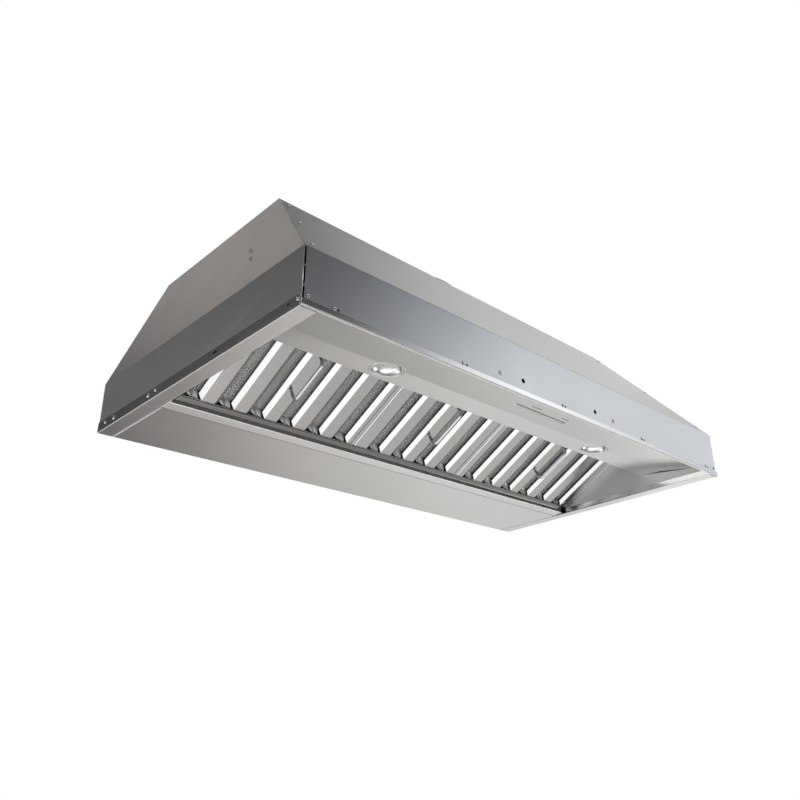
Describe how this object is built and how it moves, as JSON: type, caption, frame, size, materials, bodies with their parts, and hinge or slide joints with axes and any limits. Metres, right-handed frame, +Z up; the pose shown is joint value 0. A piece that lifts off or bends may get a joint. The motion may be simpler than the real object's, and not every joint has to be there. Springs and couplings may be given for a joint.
{
  "type": "range hood insert",
  "caption": "Hip-shaped stainless liner for a custom hood, with a lit control panel, lift-out baffle filters with wire handles, a blower and a damper collar.",
  "frame": {"origin": "centre of the underside, at the lowest plane of the rails", "axes": "X along the hood, -Y towards its front, +Z up"},
  "size_m": [1.0274, 0.571, 0.37],
  "materials": {
    "shell_steel": "satin brushed stainless sheet",
    "rail_steel": "satin brushed stainless sheet",
    "inner_steel": "bright brushed stainless sheet",
    "galvanised": "galvanised sheet",
    "baffle_steel": "bright stainless sheet",
    "dark_steel": "oily stainless in shade",
    "wire_chrome": "polished wire",
    "screw_steel": "plated screw",
    "dish": "bright spun dish",
    "lens_glass": "frosted lens",
    "black_plastic": "black moulded plastic",
    "white_plastic": "white moulded plastic",
    "board": "coated circuit board",
    "motor_paint": "dark motor paint"
  },
  "bodies": {
    "hood": {"front_panel": "shell_steel", "left_panel": "shell_steel", "right_panel": "shell_steel", "back_panel": "shell_steel", "top_panel": "shell_steel", "front_rail": "rail_steel", "left_rail": "rail_steel", "right_rail": "rail_steel", "rail_clip_nuts": "rail_steel", "light_panel": "inner_steel", "left_inner_wall": "inner_steel", "right_inner_wall": "inner_steel", "filter_track": "inner_steel", "stop_strips": "inner_steel", "rear_cover": "inner_steel", "left_lamp_cup": "inner_steel", "right_lamp_cup": "inner_steel", "filter_retainer": "galvanised", "blower_scroll": "galvanised", "motor_bracket": "galvanised", "duct_collar": "galvanised", "wiring_box": "galvanised", "wiring_cover": "galvanised", "hip_screws": "screw_steel", "face_screws": "screw_steel", "rail_screws": "screw_steel", "top_screws": "screw_steel", "damper_pin": "screw_steel", "fan_spring": "screw_steel", "light_spring": "screw_steel", "left_reflector": "dish", "right_reflector": "dish", "lamp_modules": "dish", "left_lens": "lens_glass", "right_lens": "lens_glass", "control_housing": "black_plastic", "cable_clamp": "black_plastic", "indicator_lights": "white_plastic", "lamp_driver": "white_plastic", "control_board": "board", "motor": "motor_paint"},
    "left_filter": {"left_filter_frame": "baffle_steel", "left_filter_front_baffles": "baffle_steel", "left_filter_back_baffles": "dark_steel", "left_filter_handle": "wire_chrome"},
    "middle_filter": {"middle_filter_frame": "baffle_steel", "middle_filter_front_baffles": "baffle_steel", "middle_filter_back_baffles": "dark_steel", "middle_filter_handle": "wire_chrome"},
    "right_filter": {"right_filter_frame": "baffle_steel", "right_filter_front_baffles": "baffle_steel", "right_filter_back_baffles": "dark_steel", "right_filter_handle": "wire_chrome"},
    "fan_push": {"fan_bar": "inner_steel"},
    "light_push": {"light_bar": "inner_steel"},
    "rotor": {"impeller": "galvanised", "motor_shaft": "screw_steel"},
    "front_damper": {"front_flap": "galvanised"},
    "rear_damper": {"rear_flap": "galvanised"}
  },
  "joints": [
    {"name": "left_filter_lift", "type": "slide", "parent": "hood", "child": "left_filter", "axis": [0, -0.8787, 0.4773], "range_m": [0, 0.009]},
    {"name": "middle_filter_lift", "type": "slide", "parent": "hood", "child": "middle_filter", "axis": [0, -0.8787, 0.4773], "range_m": [0, 0.009]},
    {"name": "right_filter_lift", "type": "slide", "parent": "hood", "child": "right_filter", "axis": [0, -0.8787, 0.4773], "range_m": [0, 0.009]},
    {"name": "fan_bar_push", "type": "slide", "parent": "hood", "child": "fan_push", "axis": [0, -0.1413, 0.99], "range_m": [0, 0.0015], "stiffness_N_per_m": 400, "deforming": ["fan_spring"]},
    {"name": "light_bar_push", "type": "slide", "parent": "hood", "child": "light_push", "axis": [0, -0.1413, 0.99], "range_m": [0, 0.0015], "stiffness_N_per_m": 400, "deforming": ["light_spring"]},
    {"name": "impeller_spin", "type": "hinge", "parent": "hood", "child": "rotor", "pos_m": [0, 0.1055, 0.205], "axis": [1, 0, 0], "continuous": true},
    {"name": "front_flap_hinge", "type": "hinge", "parent": "hood", "child": "front_damper", "pos_m": [0, 0.1055, 0.34], "axis": [-1, 0, 0], "range_deg": [0, 76]},
    {"name": "rear_flap_hinge", "type": "hinge", "parent": "hood", "child": "rear_damper", "pos_m": [0, 0.1055, 0.34], "axis": [1, 0, 0], "range_deg": [0, 76]}
  ]
}
